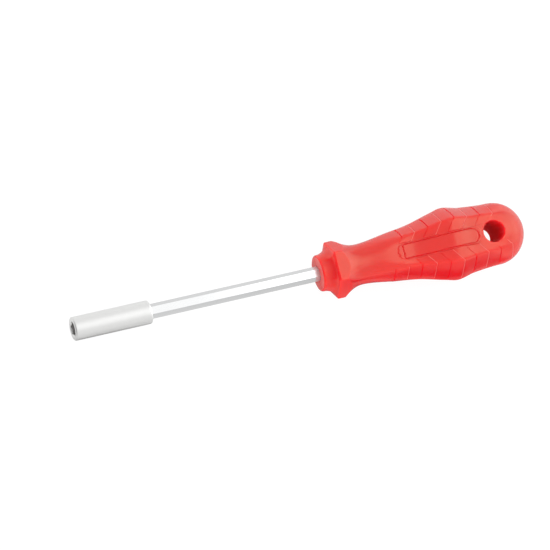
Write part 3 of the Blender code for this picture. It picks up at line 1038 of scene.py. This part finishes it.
def shown_to(owner, ray, special, usual):
    """Shows one shader to one kind of ray and another to all the rest."""
    path = node_of(owner, "ShaderNodeLightPath")
    mixed = node_of(owner, "ShaderNodeMixShader")
    link(owner, path.outputs[ray], mixed.inputs[0])
    link(owner, usual, mixed.inputs[1])
    link(owner, special, mixed.inputs[2])
    return mixed.outputs["Shader"]


def floor_in_reflections(material):
    """Painted light and shade for reflections: darker on the shaded side of the tool, painted shadows at
    the spots and a painted glow beyond the butt.
    """
    coordinates = node_of(material, "ShaderNodeTexCoord")
    split = node_of(material, "ShaderNodeSeparateXYZ")
    link(material, coordinates.outputs["Object"], split.inputs["Vector"])

    across = ramped(material, split.outputs["Y"], -FLOOR_HALF_WIDTH, FLOOR_HALF_WIDTH, 0, 1)
    shade = node_of(material, "ShaderNodeValToRGB")
    link(material, across.outputs["Result"], shade.inputs["Fac"])
    stops = shade.color_ramp.elements
    positions = [(y + FLOOR_HALF_WIDTH) / (2 * FLOOR_HALF_WIDTH) for y, _ in FLOOR_ACROSS]
    for position in positions[1:-1]:
        stops.new(position)
    for stop, position, (_, grey) in zip(stops, positions, FLOOR_ACROSS):
        stop.position = position
        stop.color = (grey, grey, grey, 1)

    shadowed, *others = [painted_shadow(material, *spot) for spot in FLOOR_SHADOWS]
    for other in others:
        shadowed = combined(material, "MULTIPLY", shadowed, other)
    mirrored = node_of(material, "ShaderNodeEmission")
    link(material, shade.outputs["Color"], mirrored.inputs["Color"])
    link(material, shadowed, mirrored.inputs["Strength"])

    beyond = node_of(material, "ShaderNodeEmission")
    onward = ramped(material, split.outputs["X"], *BEYOND_BUTT, 0, BEYOND_GLOW)
    link(material, onward.outputs["Result"], beyond.inputs["Strength"])
    return added_shaders(material, mirrored.outputs["Emission"], beyond.outputs["Emission"])


def floor():
    """A white floor that keeps a faint shadow for the camera and shows painted light and shadows in
    reflections.
    """
    bpy.ops.object.select_all(action="DESELECT")
    bpy.ops.mesh.primitive_plane_add(size=FLOOR_SIZE)
    plane = added("floor")
    material = bpy.data.materials.new("white_floor")
    material.use_nodes = True
    material.node_tree.nodes.clear()
    paper = node_of(material, "ShaderNodeBsdfDiffuse", Color=FLOOR_WHITE)
    faint = node_of(material, "ShaderNodeBsdfDiffuse", Color=FLOOR_SHADED)
    glow = node_of(material, "ShaderNodeEmission", Strength=FLOOR_GLOW)
    seen = added_shaders(material, faint.outputs["BSDF"], glow.outputs["Emission"])
    mirrored = floor_in_reflections(material)
    unseen = shown_to(material, "Is Glossy Ray", mirrored, paper.outputs["BSDF"])
    output = node_of(material, "ShaderNodeOutputMaterial")
    link(material, shown_to(material, "Is Camera Ray", seen, unseen), output.inputs["Surface"])
    plane.data.materials.append(material)


def world():
    """An even white surround that, in reflections, is dark at the tip's end and bright at the butt's."""
    studio = bpy.data.worlds.new("studio")
    bpy.context.scene.world = studio
    studio.use_nodes = True
    studio.node_tree.nodes.clear()
    white = (1, 1, 1, 1)
    even = node_of(studio, "ShaderNodeBackground", Color=white, Strength=SURROUND)
    mirrored = node_of(studio, "ShaderNodeBackground", Color=white)
    backdrop = node_of(studio, "ShaderNodeBackground", Color=white, Strength=1)

    coordinates = node_of(studio, "ShaderNodeTexCoord")
    split = node_of(studio, "ShaderNodeSeparateXYZ")
    link(studio, coordinates.outputs["Generated"], split.inputs["Vector"])
    rise = ramped(studio, split.outputs["X"], *SURROUND_RISE)
    end = ramped(studio, split.outputs["X"], *SURROUND_END)
    rise.interpolation_type = "SMOOTHSTEP"
    end.interpolation_type = "SMOOTHSTEP"
    strength = combined(studio, "ADD", rise.outputs["Result"], end.outputs["Result"])
    link(studio, strength, mirrored.inputs["Strength"])

    unseen = shown_to(studio, "Is Glossy Ray", mirrored.outputs["Background"], even.outputs["Background"])
    seen = shown_to(studio, "Is Camera Ray", backdrop.outputs["Background"], unseen)
    output = node_of(studio, "ShaderNodeOutputWorld")
    link(studio, seen, output.inputs["Surface"])


def softbox(name, along, across, distance, width, depth, radiance, in_reflections):
    """A lamp that faces the tool, leaning by so many degrees towards +X and towards +Y."""
    lamp = bpy.data.lights.new(name, "AREA")
    lamp.shape = "RECTANGLE"
    lamp.size = width
    lamp.size_y = depth
    lamp.energy = radiance * math.pi * width * depth
    obj = bpy.data.objects.new(name, lamp)
    bpy.context.scene.collection.objects.link(obj)
    leant_along = Matrix.Rotation(math.radians(along), 4, "Y")
    leant_across = Matrix.Rotation(math.radians(-across), 4, "X")
    obj.matrix_world = leant_along @ leant_across @ Matrix.Translation((0, 0, distance))
    obj.visible_glossy = in_reflections


def camera():
    lens = bpy.data.cameras.new("photo_camera")
    lens.sensor_width = CAMERA_SENSOR
    lens.lens = CAMERA_LENS
    lens.clip_start = CAMERA_NEAR
    view = bpy.data.objects.new("photo_camera", lens)
    bpy.context.scene.collection.objects.link(view)
    tilted = Matrix.Rotation(QUARTER - CAMERA_ELEVATION, 4, "X") @ Matrix.Rotation(CAMERA_ROLL, 4, "Z")
    turned = Matrix.Rotation(CAMERA_AZIMUTH, 4, "Z") @ tilted
    view.matrix_world = Matrix.Translation(CAMERA_AT) @ turned
    bpy.context.scene.camera = view


bar = shank_bar()
sleeve = bit_sleeve()
ring = split_ring()
handle = handle_moulding()

handle_finishes = {
    GLOSSY: red_plastic(),
    # Paler than the red plastic: painted light in the hanging hole's bore
    BORE: dull_plastic("bore_painted_light", (0.86, 0.016, 0.024)),
    # Darker than the red plastic: painted shade on the tread's starting lines and on the field's line
    SHADE_LINE: dull_plastic("shade_line_plastic", (0.68, 0.002, 0.008)),
    HIGHLIGHT_LINE: painted_highlight_plastic(),
    NOSE_SHEEN: nose_sheen_plastic(),
}
dress(handle, "tool", "handle_plastic", *handle_finishes.values())
finish_details(handle)
dress(bar, "tool", "shank_chrome", bright_chrome())
dress(sleeve, "tool", "holder_steel", satin_steel(), socket_shade_steel())
finish_socket(sleeve)
dress(ring, "ring", "spring_steel", spring_wire())
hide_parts("handle")
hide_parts("shank")
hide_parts("bit_holder")
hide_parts("retaining_ring")

magnet = frame["nodes"]["magnet"]
magnet.data.materials.clear()
magnet.data.materials.append(dull_nickel())

floor()
world()
for name, settings in LAMPS.items():
    softbox(name, *settings)
camera()
bpy.context.scene.view_settings.view_transform = "Standard"
